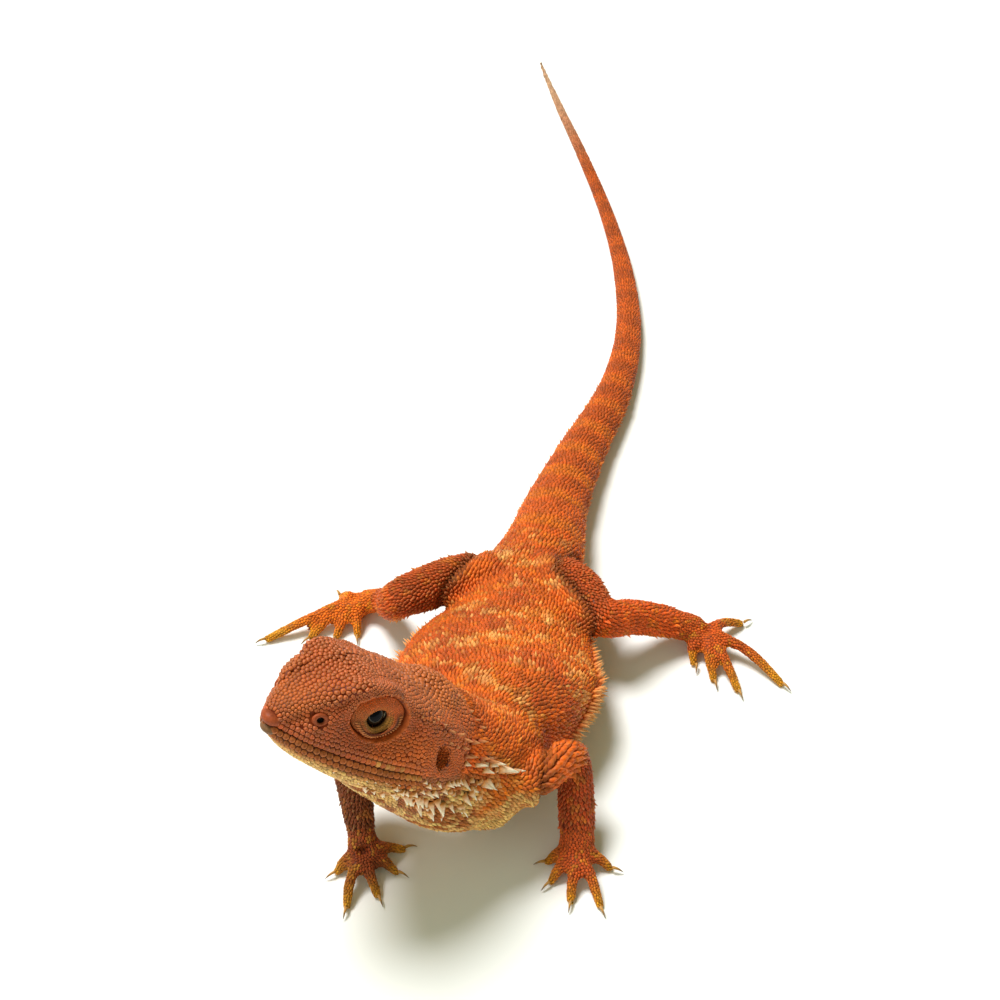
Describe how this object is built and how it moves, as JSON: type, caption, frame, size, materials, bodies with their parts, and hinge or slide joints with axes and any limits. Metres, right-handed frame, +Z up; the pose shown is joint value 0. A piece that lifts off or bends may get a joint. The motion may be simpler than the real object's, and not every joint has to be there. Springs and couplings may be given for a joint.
{
  "type": "bearded dragon model",
  "caption": "Life-size still model of a bearded dragon standing with its head raised and turned, its belly and long tail resting on the floor.",
  "frame": {"origin": "centre of the model's box in X and Y, on the floor that it stands on", "axes": "+Z up, +Y from the shoulders towards the tip of the tail, +X to the animal's left side"},
  "size_m": [0.1334, 0.3342, 0.0721],
  "materials": {
    "head_scales": "brick-red horn-like scales, semi-matt",
    "jaw_scales": "brownish lips over cream scales, semi-matt",
    "body_scales": "orange-red scales with paler broken bands, semi-matt",
    "leg_scales": "dark red keeled scales, semi-matt",
    "toe_scales": "orange scales, semi-matt",
    "tail_scales": "orange scales with darker crossbands, semi-matt",
    "eye": "wet gloss",
    "claw": "dark grey-brown horn"
  },
  "bodies": {
    "root": {"claw_foot_left_1": "claw", "claw_foot_left_2": "claw", "claw_foot_left_3": "claw", "claw_foot_left_4": "claw", "claw_foot_left_5": "claw", "claw_foot_right_1": "claw", "claw_foot_right_2": "claw", "claw_foot_right_3": "claw", "claw_foot_right_4": "claw", "claw_foot_right_5": "claw", "claw_hand_left_1": "claw", "claw_hand_left_2": "claw", "claw_hand_left_3": "claw", "claw_hand_left_4": "claw", "claw_hand_left_5": "claw", "claw_hand_right_1": "claw", "claw_hand_right_2": "claw", "claw_hand_right_3": "claw", "claw_hand_right_4": "claw", "claw_hand_right_5": "claw", "eye_left": "eye", "eye_right": "eye", "foot_left": "toe_scales", "foot_right": "toe_scales", "forearm_left": "leg_scales", "forearm_right": "leg_scales", "hand_left": "toe_scales", "hand_right": "toe_scales", "head": "head_scales", "lower_jaw": "jaw_scales", "neck": "body_scales", "shank_left": "leg_scales", "shank_right": "leg_scales", "tail_1": "tail_scales", "tail_2": "tail_scales", "tail_3": "tail_scales", "tail_4": "tail_scales", "tail_5": "tail_scales", "thigh_left": "leg_scales", "thigh_right": "leg_scales", "trunk_front": "body_scales", "trunk_rear": "body_scales", "upper_arm_left": "leg_scales", "upper_arm_right": "leg_scales"}
  },
  "joints": []
}
